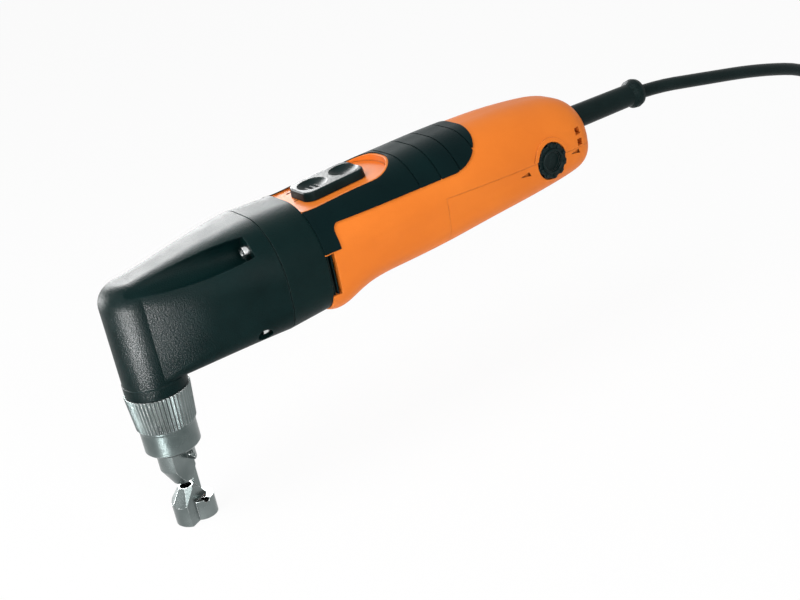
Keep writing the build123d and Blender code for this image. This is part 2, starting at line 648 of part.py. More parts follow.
groove_width = 0.8
grip_pocket = grip_zone - housing_sunk - window(window_rim)
grip_inlay = housing_proud & grip_pocket
for along in (56.0, 68.0, 79.0, 91.0):
    ring = block(grip_x + along, grip_x + along + groove_width, -60, 60, 0, 200)
    grip_inlay -= ring - housing_outer
pieces["grip_inlay"] = grip_inlay

# Motor housing: moulded shell with webs for stator and rear bearing, screw bosses and pillars
housing = housing_outer - housing_inner
dial_x = rear_x - 32.0
dial_z = DATUM + 7.5
lip = rod_y(DIAL_RADIUS + 2.6, -60, -10, dial_x, dial_z) & housing_proud
lip &= block(dial_x - 20, dial_x + 20, -60, -10, dial_z + 2.5, dial_z + 30)
housing += lip - housing_inner
panel_slope = math.degrees(math.atan(PANEL_SLOPE))
panel_frame = Pos(grip_x, 0, DATUM + PANEL_LINE) * Rot(0, -panel_slope, 0)
panel = panel_frame * block(-20, 80, -60, 60, -PANEL_THICKNESS, 0)
housing += panel & window(window_rim) & housing_outer
bar_half, bar_low, bar_high = 2.5, DATUM + 24.6, DATUM + 26.0
switch_x = tail_bearing_end + 6.5
bar_slot = block(grip_x, switch_x, -bar_half - 0.6, bar_half + 0.6, bar_low - 1.0, bar_high + 0.4)
for x in (core_x + 3.0, core_end - 7.0):
    web = housing_inner & block(x, x + 3.0, -60, 60, 0, 200)
    web -= stator_blank
    for side in (-1, 1):
        web -= Pos(x + 1.5, side * (STATOR_RADIUS + 1.0), motor_z + 13.0) * Rot(0, 90, 0) * Cylinder(3.5, 8)
    housing += web - bar_slot
rear_web = housing_inner & block(web_x, web_x + 4.0, -60, 60, 0, 200)
rear_web += rod_x(tail_bearing_outer + 2.2, web_x, tail_bearing_end, 0, motor_z)
for side in (-1, 1):
    rear_web -= rod_x(5.0, web_x, web_x + 4.0, side * 15.5, motor_z - 10.5)
housing += rear_web - bar_slot
housing -= rod_x(tail_bearing_outer, tail_bearing_x, tail_bearing_end, 0, motor_z)
housing -= rod_x(SHAFT_RADIUS + 1.0, web_x, tail_bearing_x, 0, motor_z)
for y, z in screw_places:
    housing += rod_x(boss_radius, grip_x, boss_end_x, y, z) & housing_outer
    housing -= rod_x(screw_radius, grip_x, screw_end_x, y, z)
housing -= grip_pocket
housing -= window() & (panel_frame * block(-20, 80, -60, 60, 0, 60))

# Switch slider on its sloping panel, with two thumb hollows, and the bar that it moves
slider_x = grip_x + 25.0
panel_z = DATUM + PANEL_LINE + (slider_x - grip_x) * PANEL_SLOPE
slider_frame = Pos(slider_x, 0, panel_z + GAP) * Rot(0, -panel_slope, 0)
slider = extrude(RectangleRounded(SLIDER_LENGTH, SLIDER_WIDTH, 5.0), SLIDER_HEIGHT, taper=6)
slider = fillet(slider.faces().sort_by(Axis.Z)[-1].edges(), 0.8)
hollow_radius, hollow_depth = 11.0, 2.6
for along in (-7.6, 9.6):
    slider -= Pos(along, 0, SLIDER_HEIGHT + hollow_radius - hollow_depth) * Sphere(hollow_radius)
for along in (-10.0, -7.6, -5.2):
    slider += Pos(along, 0, SLIDER_HEIGHT - hollow_depth) * Box(0.9, 6.0, 1.6)
stem_x = slider_x - 4.0
stem_half = 3.0
stem = block(stem_x - stem_half, stem_x + stem_half, -2.0, 2.0, bar_high, panel_z + 1.5)
pieces["switch_slider"] = slider_frame * slider + stem
bar_x = fan_end + SWITCH_TRAVEL + GAP
pieces["switch_bar"] = block(bar_x, switch_x - GAP, -bar_half, bar_half, bar_low, bar_high)
stem_front = stem_x - stem_half - SWITCH_TRAVEL - GAP
stem_rear = stem_x + stem_half + GAP
housing -= block(stem_front, stem_rear, -2.0 - GAP, 2.0 + GAP, bar_high - 1, panel_z + 5)

# Switch module and speed module, hung from ribs under the roof
switch_half, switch_low, switch_high = 9.0, DATUM + 12.0, DATUM + 27.0
switch_length = 22.0
module = block(switch_x, switch_x + switch_length, -switch_half, switch_half, switch_low, switch_high)
module = fillet(module.edges().filter_by(Axis.Z), 1.5)
pieces["switch_module"] = module
dial_face = BODY_HALF - 5.6
module_y = DIAL_DEPTH + 0.6 - dial_face
speed_half = 8.0
speed_low, speed_high = DATUM + 0.5, DATUM + 15.5
speed_width = 12.0
dial_shaft = 2.4
speed = block(
    dial_x - speed_half, dial_x + speed_half, module_y, module_y + speed_width, speed_low, speed_high
)
pieces["speed_module"] = speed - rod_y(dial_shaft + FIT, module_y, module_y + 8.0, dial_x, dial_z)
hangers = [
    (switch_x + 3.0, -switch_half + 1.0, switch_half - 1.0, switch_high),
    (switch_x + switch_length - 5.0, -switch_half + 1.0, switch_half - 1.0, switch_high),
    (dial_x - 7.0, module_y + 2.0, module_y + speed_width - 1.0, speed_high),
    (dial_x + 5.0, module_y + 2.0, module_y + speed_width - 1.0, speed_high),
]
for x, y0, y1, z in hangers:
    housing += housing_inner & block(x, x + 2.0, y0, y1, z + SEAM, 200)

# Speed dial: lobed wheel with a sunk middle, on the left side
dial = rod_y(DIAL_RADIUS, -dial_face, DIAL_DEPTH - dial_face, dial_x, dial_z)
lobes = 10
for i in range(lobes):
    angle = 2 * math.pi * i / lobes
    scallop = (DIAL_RADIUS + 1.0) * math.cos(angle), (DIAL_RADIUS + 1.0) * math.sin(angle)
    dial -= rod_y(1.9, -dial_face - 1, 1.8 - dial_face, dial_x + scallop[0], dial_z + scallop[1])
dial -= rod_y(4.6, -dial_face - 1, 1.2 - dial_face, dial_x, dial_z)
dial += rod_y(dial_shaft, DIAL_DEPTH - dial_face, module_y + 7.5, dial_x, dial_z)
pieces["speed_dial"] = dial
dial_hole = rod_y(DIAL_RADIUS + 0.5, -60, module_y, dial_x, dial_z)

# Cord clamp inside the rear end, and the pillars for the rear cover's screws
clamp_x = rear_x - 20.0
cover_screw_radius = 1.5
clamp_cheek = 5.5  # beside the cord, for one screw
clamp_half, clamp_length = cord_radius + clamp_cheek, 7.0
rear_pillar_y = clamp_half + 3.0 + cover_screw_radius
clamp_high = cord_z + cord_radius + SEAM
clamp_low = clamp_high - 7.5
clamp_screw_y = clamp_half - 2.4
housing += housing_inner & block(clamp_x, clamp_x + clamp_length, -clamp_half, clamp_half, clamp_high, 200)
clamp = block(clamp_x, clamp_x + clamp_length, -clamp_half, clamp_half, clamp_low, cord_z + 1.0)
clamp -= rod_x(cord_radius, clamp_x, clamp_x + clamp_length, 0, cord_z)
clamp_screws = []
for y in (-clamp_screw_y, clamp_screw_y):
    clamp -= rod_z(1.2 + SEAM, clamp_low, clamp_high, clamp_x + clamp_length / 2, y)
    housing -= rod_z(1.2, clamp_high, clamp_high + 7.0, clamp_x + clamp_length / 2, y)
    clamp_screws.append(Pos(clamp_x + clamp_length / 2, y, clamp_low) * socket_screw(1.2, 2.2, 1.6, 13.5))
pieces["cord_clamp"] = clamp
pieces["clamp_screws"] = Compound(clamp_screws)
seam_turn = Rot(0, COVER_TILT, 0)
behind_seam = block(0, 140, -60, 60, -140, 0)
cover_zone = Pos(cover_x, 0, cover_z) * seam_turn * behind_seam
cover_opening = Pos(cover_x - SEAM, 0, cover_z + SEAM) * seam_turn * behind_seam
pillar_radius = 3.6
cover_screw_head = 3.0
cover_screw_seat = DATUM - 2.6
cover_screw_end = cover_z + 8.0
pillar_places = [
    (x, side * y)
    for x, y in ((tail_bearing_end + 10.0, BODY_HALF - 14.5), (rear_x - 14.5, rear_pillar_y))
    for side in (-1, 1)
]
housing -= cover_opening - housing_core
rear_cover = (housing_outer - housing_inner) & cover_zone
for x, y in pillar_places:
    pillar = housing_inner & rod_z(pillar_radius, 0, 200, x, y)
    housing += pillar - cover_opening
    rear_cover += pillar & cover_zone
    rear_cover -= rod_z(cover_screw_head + SEAM, 0, cover_screw_seat, x, y)
    rear_cover -= rod_z(cover_screw_radius + SEAM, 0, cover_z, x, y)
    housing -= rod_z(cover_screw_radius, DATUM, cover_screw_end + 1.0, x, y)
housing -= dial_hole
rear_cover -= dial_hole

# Wedge-shaped setting marks beside the dial, sunk into the left side
mark_floor = body(housing_stations, -1.2)
for x in (rear_x - 53.0, rear_x - 19.0):
    mark = make_face(Polyline((x, DATUM + 6.4), (x + 6.6, DATUM + 5.0), (x + 5.8, DATUM + 7.4), close=True))
    rear_cover -= extrude(Plane.XZ * mark, 60) - mark_floor
pieces["rear_cover"] = rear_cover

# Cooling slots beside the flange and at the rear, and the hole for the cord's sleeve
vent_low, vent_high = DATUM - 9.5, DATUM + 9.8
rear_vent = 3.4
for side in (-1, 1):
    near, far = sorted((side * (BODY_HALF - 8), side * 60))
    housing -= block(grip_x, grip_x + 4.4, near, far, vent_low, vent_high)
    near, far = sorted((side * (BODY_HALF - 13.4), side * 60))
    for z in (DATUM + 15.6, DATUM + 10.2):
        middle = rear_x - 11.5
        housing -= block(
            middle - rear_vent / 2, middle + rear_vent / 2, near, far, z - rear_vent / 2, z + rear_vent / 2
        )
sleeve_radius = 6.1
housing -= rod_x(sleeve_radius, rear_x - 3 * WALL, rear_x + 5, 0, cord_z)
pieces["motor_housing"] = housing

# Screws of the head and of the rear cover
head_screw_length = screw_end_x - screw_seat_x - 1.0
head_screw = Rot(0, 90, 0) * socket_screw(screw_radius, screw_head_radius, screw_head, head_screw_length)
pieces["head_screws"] = Compound([Pos(screw_seat_x, y, z) * head_screw for y, z in screw_places])
pieces["cover_screws"] = Compound([
    Pos(x, y, cover_screw_seat) * socket_screw(
        cover_screw_radius, cover_screw_head, 2.2, cover_screw_end - cover_screw_seat
    )
    for x, y in pillar_places
])

# Cord sleeve: rubber bend relief with a collar behind the rear wall and a bulge at its end
sleeve_end = rear_x + SLEEVE_LENGTH
sleeve_bore = cord_radius
collar_end = rear_x - 2 * WALL
sleeve = turned(
    Axis.X,
    (sleeve_bore, collar_end - 3.0), (sleeve_radius + 2.0, collar_end - 3.0),
    (sleeve_radius + 2.0, collar_end), (sleeve_radius, collar_end), (sleeve_radius, rear_x + 2.0),
    (sleeve_radius - 0.3, sleeve_end - 7.5), (sleeve_radius + 1.2, sleeve_end - 5.5),
    (sleeve_radius + 1.5, sleeve_end - 3.0), (sleeve_radius + 0.9, sleeve_end - 1.0),
    (sleeve_radius - 0.4, sleeve_end), (sleeve_bore + 0.5, sleeve_end), (sleeve_bore, sleeve_end - 9.0),
)
pieces["cord_sleeve"] = Pos(0, 0, cord_z) * sleeve

# Mains cord: a straight stretch inside the tool, then the free stretch down to the hank
join_x = sleeve_end - 27.0
hank_low = TIE_THICKNESS + GAP + cord_radius
cord_route = [
    (join_x, 0, cord_z),
    (sleeve_end + 6, 0, cord_z),
    (sleeve_end + 46, 0, cord_z - 7.2),
    (sleeve_end + 90, 0, cord_z - 15.2),
    (sleeve_end + 133, 2, cord_z - 27.8),
    (sleeve_end + 177, 13, cord_z - 59.4),
    (sleeve_end + 203, 29, 20),
    (HANK_X - 110, 36.5, hank_low),
    (HANK_X - 74, 36.5, hank_low),
]
pieces["inner_cord"] = rod_x(cord_radius, clamp_x - 4.0, join_x, 0, cord_z)


def turn_radii(points):
    """Largest arc for each corner of a route: 0.45 of its shorter run over the half turn's tangent."""
    radii = []
    for before, here, after in zip(points, points[1:], points[2:]):
        back, on = Vector(*here) - Vector(*before), Vector(*after) - Vector(*here)
        half_turn = math.radians(back.get_angle(on)) / 2
        radii.append(0.45 * min(back.length, on.length) / math.tan(half_turn))
    return radii


cord_radii = turn_radii(cord_route)
cord_path = FilletPolyline(*cord_route, radius=cord_radii)
cord_start = Plane(origin=cord_path @ 0, z_dir=cord_path % 0)
mains_cord = sweep(cord_start * Circle(cord_radius), path=cord_path)
pieces["mains_cord"] = mains_cord
cord_ratio = mains_cord.volume / (math.pi * cord_radius**2 * cord_path.length)
print("cord radii", [round(r) for r in cord_radii], "volume ratio", round(cord_ratio, 4))

# Hank: loops of biarcs from waist to end turn, spiralling in and out again through four layers
HANK_QUARTERS = 20
QUARTERS_PER_LAYER = 6
layer_top = hank_low + 3 * HANK_LAYER


def biarc(start, heading, end, leaving, bias=1.0):
    """Two tangent arcs between two points with given headings."""
    span = end - start
    spread = 1 - heading.dot(leaving)
    pull = bias * span.dot(heading) + span.dot(leaving)
    if spread < 1e-9:
        reach = span.dot(span) / (2 * pull)
    else:
        reach = (math.sqrt(pull**2 + 2 * bias * spread * span.dot(span)) - pull) / (2 * bias * spread)
    first = start + heading * (bias * reach)
    last = end - leaving * reach
    middle = first + (last - first) * (bias / (1 + bias))
    return [
        TangentArc(start, middle, tangent=heading),
        TangentArc(middle, end, tangent=(last - first).normalized()),
    ]


def hank_loops(quarter):
    """Loops outside the innermost one: the spiral runs in and out again."""
    phase = quarter % (2 * QUARTERS_PER_LAYER)
    return abs(QUARTERS_PER_LAYER - phase) / 4


def hank_bias(end_quarter, waist_quarter):
    """Tangent at an end turn over the tangent at a waist, so that the end turn has its own radius."""
    fold = HANK_FOLD + hank_loops(end_quarter) * HANK_PITCH
    middle = HANK_REACH - HANK_FOLD
    waist = WAIST_START + hank_loops(waist_quarter) * WAIST_PITCH
    sweep_back = (middle**2 + waist**2 - fold**2) / (2 * (fold - waist))
    lean = math.asin(middle / (fold + sweep_back))
    return fold * math.tan(math.pi / 4 + lean / 2) / (sweep_back * math.tan(lean / 2))


def hank_station(quarter):
    """Point and heading after so many quarter turns: waist, end turn, waist, end turn."""
    loops = hank_loops(quarter)
    layer, late = divmod(quarter, QUARTERS_PER_LAYER)
    climbing = late == 0 and 0 < quarter
    height = hank_low + HANK_LAYER * (layer - 0.5 if climbing else layer)
    slope = 0.75 * HANK_LAYER / HANK_REACH if climbing else 0.0
    side = 1 if quarter % 4 < 2 else -1
    if quarter % 2:
        return Vector(HANK_X + side * (HANK_REACH + loops * HANK_PITCH), 0, height), Vector(0, -side, 0)
    place = Vector(HANK_X, side * (WAIST_START + loops * WAIST_PITCH), height)
    return place, Vector(side, 0, slope).normalized()


entry = Vector(*cord_route[-1])
ahead = Vector(1, 0, 0)
after_entry = entry + ahead * CORD_DIAMETER
stations = [hank_station(i) for i in range(HANK_QUARTERS + 1)]
hank_edges = [Line(entry, after_entry)]
hank_edges += biarc(after_entry, ahead, *stations[0])
for i in range(HANK_QUARTERS):
    bias = hank_bias(i, i + 1) if i % 2 else 1 / hank_bias(i + 1, i)
    hank_edges += biarc(*stations[i], *stations[i + 1], bias)
last_point, last_heading = stations[-1]
tail_start = last_point + last_heading * (TIE_WIDTH / 2 + 3.0)
plug_z = hank_low + 2 * HANK_LAYER + cord_radius + GAP + PLUG_THICKNESS / 2
tail_end = Vector(tail_start.X + 42.0, WAIST_START, plug_z)
plug_entry = tail_end + last_heading * CORD_DIAMETER
hank_edges.append(Line(last_point, tail_start))
hank_edges += biarc(tail_start, last_heading, tail_end, last_heading)
hank_edges.append(Line(tail_end, plug_entry))
hank_path = Wire(hank_edges)
cord_hank = sweep(Plane(origin=entry, z_dir=ahead) * Circle(cord_radius), path=hank_path)
pieces["cord_hank"] = cord_hank
hank_ratio = cord_hank.volume / (math.pi * cord_radius**2 * hank_path.length)
step = 2.5
marks = int(hank_path.length / step)
hank_points = [tuple(hank_path @ (i / marks)) for i in range(marks + 1)]
apart = int(5 * CORD_DIAMETER / step)
hank_gap = min(
    math.dist(hank_points[i], hank_points[j])
    for i in range(marks + 1)
    for j in range(i + apart, marks + 1)
) - CORD_DIAMETER
cord_length = cord_path.length + hank_path.length + join_x - collar_end
print("hank gap", round(hank_gap, 2), "volume ratio", round(hank_ratio, 4), "cord length", round(cord_length))

# Strap round the hank's waist
strap_left = -WAIST_START - WAIST_PITCH - cord_radius - GAP
strap_right = WAIST_START + 1.5 * WAIST_PITCH + cord_radius + GAP
strap_high = layer_top + cord_radius + GAP
strap_plane = Plane(
    origin=(HANK_X - TIE_WIDTH / 2, (strap_left + strap_right) / 2, (strap_high + TIE_THICKNESS) / 2),
    x_dir=(0, 1, 0),
    z_dir=(1, 0, 0),
)
strap_width, strap_height = strap_right - strap_left, strap_high - TIE_THICKNESS
strap_outline = RectangleRounded(strap_width + 2 * TIE_THICKNESS, strap_height + 2 * TIE_THICKNESS, 4.0)
strap_outline -= RectangleRounded(strap_width, strap_height, 4.0 - TIE_THICKNESS)
pieces["hank_tie"] = extrude(strap_plane * strap_outline, TIE_WIDTH)

# Moulded two-pin plug that lies on the hank, its pins to the rear
plug_x = plug_entry.X
plug_y = plug_entry.Y
plug_neck = 14.0
plug_length = 30.0
plug_width = 36.0
pin_length = 19.0
pin_spacing = 19.0
plug_pin_radius = 2.4
plug_body_x = plug_x + plug_neck
plug_face = plug_body_x + plug_length
plug_plane = Plane(origin=(plug_body_x, plug_y, plug_z), x_dir=(0, 1, 0), z_dir=(1, 0, 0))
plug_body = extrude(plug_plane * RectangleRounded(plug_width, PLUG_THICKNESS, 10.0), plug_length)
plug_body = fillet(plug_body.edges().filter_by(Plane.YZ), 3.0)
neck = loft([
    Plane(origin=(plug_x, plug_y, plug_z), z_dir=(1, 0, 0)) * Circle(cord_radius + 2.0),
    Plane(origin=(plug_body_x + 2.0, plug_y, plug_z), z_dir=(1, 0, 0)) * Circle(cord_radius + 4.5),
])
pieces["mains_plug"] = plug_body + neck
pieces["plug_pins"] = Compound([
    rod_x(plug_pin_radius, plug_face, plug_face + pin_length, y, plug_z)
    for y in (plug_y - pin_spacing / 2, plug_y + pin_spacing / 2)
])

for name, shape in pieces.items():
    export_step(shape, f"parts/{name}.step")
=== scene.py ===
# Hand-held electric nibbler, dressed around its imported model. All sizes are in metres.
# X runs from the die to the cord, Z is up, and the origin is on the die's foot under the punch.

import math

import bmesh
import bpy
from mathutils import Matrix, Vector


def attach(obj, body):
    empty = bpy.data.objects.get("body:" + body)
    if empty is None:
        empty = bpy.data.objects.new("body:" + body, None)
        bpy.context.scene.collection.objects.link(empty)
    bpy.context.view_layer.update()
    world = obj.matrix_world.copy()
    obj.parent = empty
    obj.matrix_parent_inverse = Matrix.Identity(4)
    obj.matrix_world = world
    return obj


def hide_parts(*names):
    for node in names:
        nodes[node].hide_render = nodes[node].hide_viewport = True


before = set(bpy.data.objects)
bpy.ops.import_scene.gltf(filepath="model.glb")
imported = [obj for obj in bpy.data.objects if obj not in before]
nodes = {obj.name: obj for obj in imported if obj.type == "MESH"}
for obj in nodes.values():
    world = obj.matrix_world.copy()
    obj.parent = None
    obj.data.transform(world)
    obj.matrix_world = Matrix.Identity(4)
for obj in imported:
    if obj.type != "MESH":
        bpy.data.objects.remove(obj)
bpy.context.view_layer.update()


# Gear head: cast aluminium nose over the ram and the reduction gear.
# Its coat is a dark, sandy paint, worn a little paler along the casting's edges.
# The four long screws reach it through channels in its sides.
def add(tree, kind, sockets=(), **settings):
    """New shader node, with its settings and with its sockets set or linked."""
    made = tree.nodes.new("ShaderNode" + kind)
    for name, value in settings.items():
        setattr(made, name, value)
    for name, value in dict(sockets).items():
        if isinstance(value, bpy.types.NodeSocket):
            tree.links.new(value, made.inputs[name])
        else:
            made.inputs[name].default_value = value
    return made


PATCH_LOW = 0.3
PATCH_HIGH = 0.7


def spread(tree, source, low, high, start=PATCH_LOW, end=PATCH_HIGH):
    """A grey pattern brought to a range of values."""
    reach = {"Value": source, "From Min": start, "From Max": end, "To Min": low, "To Max": high}
    return add(tree, "MapRange", reach).outputs["Result"]


MIX_SHARE = 0
MIX_BELOW = 6
MIX_ABOVE = 7
MIX_RESULT = 2


def laid_over(tree, share, below, colour):
    """A colour laid over another one by a share."""
    sockets = {MIX_SHARE: share, MIX_BELOW: below, MIX_ABOVE: (*colour, 1)}
    return add(tree, "Mix", sockets, data_type="RGBA").outputs[MIX_RESULT]


RIM_START = 0.985
RIM_FULL = 0.86
WEAR_START = 0.35
WEAR_FULL = 0.6


def rubbed_edges(tree, surface, eased, grain, colour):
    """Edges rubbed in patches to another colour, found where the eased normal leaves the true one."""
    flat = add(tree, "NewGeometry").outputs["Normal"]
    turn = add(tree, "VectorMath", {0: eased, 1: flat}, operation="DOT_PRODUCT").outputs["Value"]
    rim = spread(tree, turn, 0.0, 1.0, RIM_START, RIM_FULL)
    patchy = spread(tree, grain, 0.0, 1.0, WEAR_START, WEAR_FULL)
    share = add(tree, "Math", {0: rim, 1: patchy}, operation="MULTIPLY").outputs["Value"]
    return laid_over(tree, share, surface, colour)


PATCH_SCALE = 55.0
PATCH_DETAIL = 5.0
GRAIN_DETAIL = 3.0
GRAIN_HEIGHT = 0.0004
ROUGH_SPREAD = 0.06
EASED_EDGE = 0.0004
EDGE_SAMPLES = 6


def finish(name, dark, light, rough, grain, depth, metallic=0.0, stretch=(1, 1, 1), patch=PATCH_SCALE,
           worn=None, edge=EASED_EDGE, gloss=0.5):
    """Finish with patches of two close colours, uneven gloss, a grain in the surface and worn edges."""
    made = bpy.data.materials.new(name)
    made.use_nodes = True
    tree = made.node_tree
    shader = tree.nodes["Principled BSDF"]
    shader.inputs["Metallic"].default_value = metallic
    shader.inputs["Specular IOR Level"].default_value = gloss
    place = add(tree, "TexCoord").outputs["Object"]
    along = add(tree, "Mapping", {"Vector": place, "Scale": stretch}).outputs["Vector"]
    cloud = add(tree, "TexNoise", {"Vector": place, "Scale": patch, "Detail": PATCH_DETAIL}).outputs["Fac"]
    fine = add(tree, "TexNoise", {"Vector": along, "Scale": grain, "Detail": GRAIN_DETAIL}).outputs["Fac"]
    colour = add(tree, "ValToRGB", {"Fac": cloud})
    low_stop, high_stop = colour.color_ramp.elements
    low_stop.position = PATCH_LOW
    low_stop.color = (*dark, 1)
    high_stop.position = PATCH_HIGH
    high_stop.color = (*light, 1)
    surface = colour.outputs["Color"]
    eased = add(tree, "Bevel", {"Radius": edge}, samples=EDGE_SAMPLES).outputs["Normal"]
    if worn:
        surface = rubbed_edges(tree, surface, eased, fine, worn)
    tree.links.new(surface, shader.inputs["Base Color"])
    uneven = spread(tree, cloud, rough - ROUGH_SPREAD, rough + ROUGH_SPREAD)
    tree.links.new(uneven, shader.inputs["Roughness"])
    relief = {"Height": fine, "Normal": eased, "Strength": depth, "Distance": GRAIN_HEIGHT}
    tree.links.new(add(tree, "Bump", relief).outputs["Normal"], shader.inputs["Normal"])
    return made


def coat(made, *names):
    """Gives a finish to CAD nodes or pieces."""
    for name in names:
        slots = bpy.data.objects[name].material_slots
        if not slots:
            bpy.data.objects[name].data.materials.append(made)
        for slot in slots:
            slot.material = made


HEAD_BLACK = (0.0008, 0.0085, 0.0085)
HEAD_SHEEN = (0.0020, 0.0125, 0.0125)
HEAD_EDGE = (0.024, 0.042, 0.042)
sandy_coat = finish(
    "sandy_coat", HEAD_BLACK, HEAD_SHEEN, rough=0.40, grain=1800.0, depth=0.5, worn=HEAD_EDGE, edge=0.0006,
    gloss=0.06
)
coat(sandy_coat, "gear_head")


# Motor flange: moulded ring between gear head and housing, in the same black with a finer grain.
# Screws pass through its four bosses, and it carries the front motor bearing.
FLANGE_BLACK = (0.0012, 0.0100, 0.0100)
FLANGE_SHEEN = (0.0026, 0.0135, 0.0132)
flange_moulding = finish(
    "flange_moulding", FLANGE_BLACK, FLANGE_SHEEN, rough=0.42, grain=1700.0, depth=0.40, worn=HEAD_EDGE,
    edge=0.0005, gloss=0.07
)
coat(flange_moulding, "motor_flange")


# Screws: cold-headed steel with a key hole in the head, plated bright with zinc.
# Four long ones hold the gear head, four the rear cover and two the cord clamp.
ZINC_DARK = (0.55, 0.56, 0.56)
ZINC_LIGHT = (0.74, 0.75, 0.75)
zinc_plate = finish(
    "zinc_plate", ZINC_DARK, ZINC_LIGHT, rough=0.24, grain=900.0, depth=0.10, metallic=1.0, patch=400.0
)
coat(zinc_plate, "head_screws", "cover_screws", "clamp_screws")


# Wide heads of the two lower head screws: pan heads with a key hole, of the same plated steel.
# Each is turned, closes over its screw's end and stays clear of its pocket in the gear head's side.
MERGE_REACH = 0.000001


def spun(shape, points, centre, axis, steps):
    """Adds a turned form to a mesh in the making: a line of points, spun full circle about an axis."""
    spots = [shape.verts.new(point) for point in points]
    lines = [shape.edges.new(pair) for pair in zip(spots, spots[1:])]
    bmesh.ops.spin(
        shape, geom=spots + lines, cent=centre, axis=axis, angle=2 * math.pi, steps=steps, use_merge=True
    )
    bmesh.ops.remove_doubles(shape, verts=shape.verts, dist=MERGE_REACH)
    bmesh.ops.recalc_face_normals(shape, faces=shape.faces[:])
    for face in shape.faces:
        face.smooth = True


def settle(shape, name, made, body):
    """Turns a mesh in the making into a piece that rides on a body."""
    mesh = bpy.data.meshes.new(name)
    shape.to_mesh(mesh)
    shape.free()
    piece = bpy.data.objects.new(name, mesh)
    bpy.context.scene.collection.objects.link(piece)
    coat(made, name)
    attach(piece, body)
    return piece


LOWER_SCREW_Y = 0.0226
LOWER_SCREW_Z = 0.0849
CAP_FACE = 0.0447
CAP_BACK = 0.0494
CAP_RADIUS = 0.0034
CAP_ROUND = 0.0006
CAP_STEPS = 32
KEY_FLOOR = 0.0466
KEY_RADIUS = 0.0015
KEY_CHAMFER_DEPTH = 0.0002
KEY_CHAMFER_WIDTH = 0.0003
CAP_PROFILE = [
    (KEY_FLOOR, 0.0),
    (KEY_FLOOR, KEY_RADIUS),
    (CAP_FACE + KEY_CHAMFER_DEPTH, KEY_RADIUS),
    (CAP_FACE, KEY_RADIUS + KEY_CHAMFER_WIDTH),
    (CAP_FACE, CAP_RADIUS - CAP_ROUND),
    (CAP_FACE + CAP_ROUND / 3, CAP_RADIUS - CAP_ROUND / 3),
    (CAP_FACE + CAP_ROUND, CAP_RADIUS),
    (CAP_BACK, CAP_RADIUS),
    (CAP_BACK, 0.0),
]
cap_shape = bmesh.new()
for side in (-1, 1):
    cap_centre = Vector((0.0, side * LOWER_SCREW_Y, LOWER_SCREW_Z))
    cap_points = [cap_centre + Vector((along, 0.0, radius)) for along, radius in CAP_PROFILE]
    spun(cap_shape, cap_points, cap_centre, (1, 0, 0), CAP_STEPS)
settle(cap_shape, "screw_caps", zinc_plate, "housing")


# Union ring: turned steel ring, knurled above and smooth below, that clamps the die head to the neck.
# The lathe leaves fine rings round it, and the knurl's crests are rubbed bright.
RING_DARK = (0.085, 0.108, 0.106)
RING_LIGHT = (0.17, 0.200, 0.197)
RING_CREST = (0.70, 0.72, 0.72)
turned_ring = finish(
    "turned_ring", RING_DARK, RING_LIGHT, rough=0.30, grain=260.0, depth=0.22, metallic=1.0,
    stretch=(1, 1, 18), worn=RING_CREST, edge=0.0003
)
coat(turned_ring, "union_ring")


# Die head: ground tool steel. The carrier guides the punch, and the die hangs from it on a slim post.
# Grinding lines run across the flats and the facets, and the cutting edges are bright.
STEEL_DARK = (0.115, 0.140, 0.138)
STEEL_LIGHT = (0.215, 0.245, 0.242)
STEEL_EDGE = (0.85, 0.86, 0.86)
ground_steel = finish(
    "ground_steel", STEEL_DARK, STEEL_LIGHT, rough=0.26, grain=300.0, depth=0.16, metallic=1.0,
    stretch=(6, 6, 1), worn=STEEL_EDGE, edge=0.0003
)
coat(ground_steel, "die_carrier", "die", "die_pin", "punch", "punch_pin")


# Ram, eccentric shaft, gears and armature shaft: hardened steel, oiled, with a faint straw tint.
# The bushes that guide the ram are sintered bronze, pressed into the gear head.
GEAR_DARK = (0.26, 0.26, 0.25)
GEAR_LIGHT = (0.38, 0.37, 0.35)
BRONZE_DARK = (0.36, 0.21, 0.09)
BRONZE_LIGHT = (0.50, 0.31, 0.14)
oiled_steel = finish(
    "oiled_steel", GEAR_DARK, GEAR_LIGHT, rough=0.30, grain=500.0, depth=0.15, metallic=1.0,
    worn=STEEL_EDGE, edge=0.0002
)
sintered_bronze = finish(
    "sintered_bronze", BRONZE_DARK, BRONZE_LIGHT, rough=0.42, grain=2200.0, depth=0.35, metallic=1.0
)
coat(oiled_steel, "ram", "eccentric_shaft", "eccentric_roller", "drive_gear", "pinion", "armature_shaft")
coat(sintered_bronze, "lower_ram_bush", "upper_ram_bush")


# Ball bearings: ground and polished steel rings, pressed on to the shafts.
# The lines of the grinding run round them.
BEARING_DARK = (0.46, 0.47, 0.48)
BEARING_LIGHT = (0.60, 0.61, 0.62)
bearing_steel = finish(
    "bearing_steel", BEARING_DARK, BEARING_LIGHT, rough=0.22, grain=700.0, depth=0.12, metallic=1.0,
    stretch=(8, 1, 1)
)
coat(
    bearing_steel, "front_drive_bearing", "rear_drive_bearing", "front_motor_bearing", "rear_motor_bearing"
)


# Motor: sheet stacks, copper windings, commutator and carbon brushes.
# The stacks show their sheets as lines across the shaft, and the wire is varnished.
WAVE_SCALE = 0.314
WAVE_DRIFT = 0.4
RIDGE_HEIGHT = 0.4


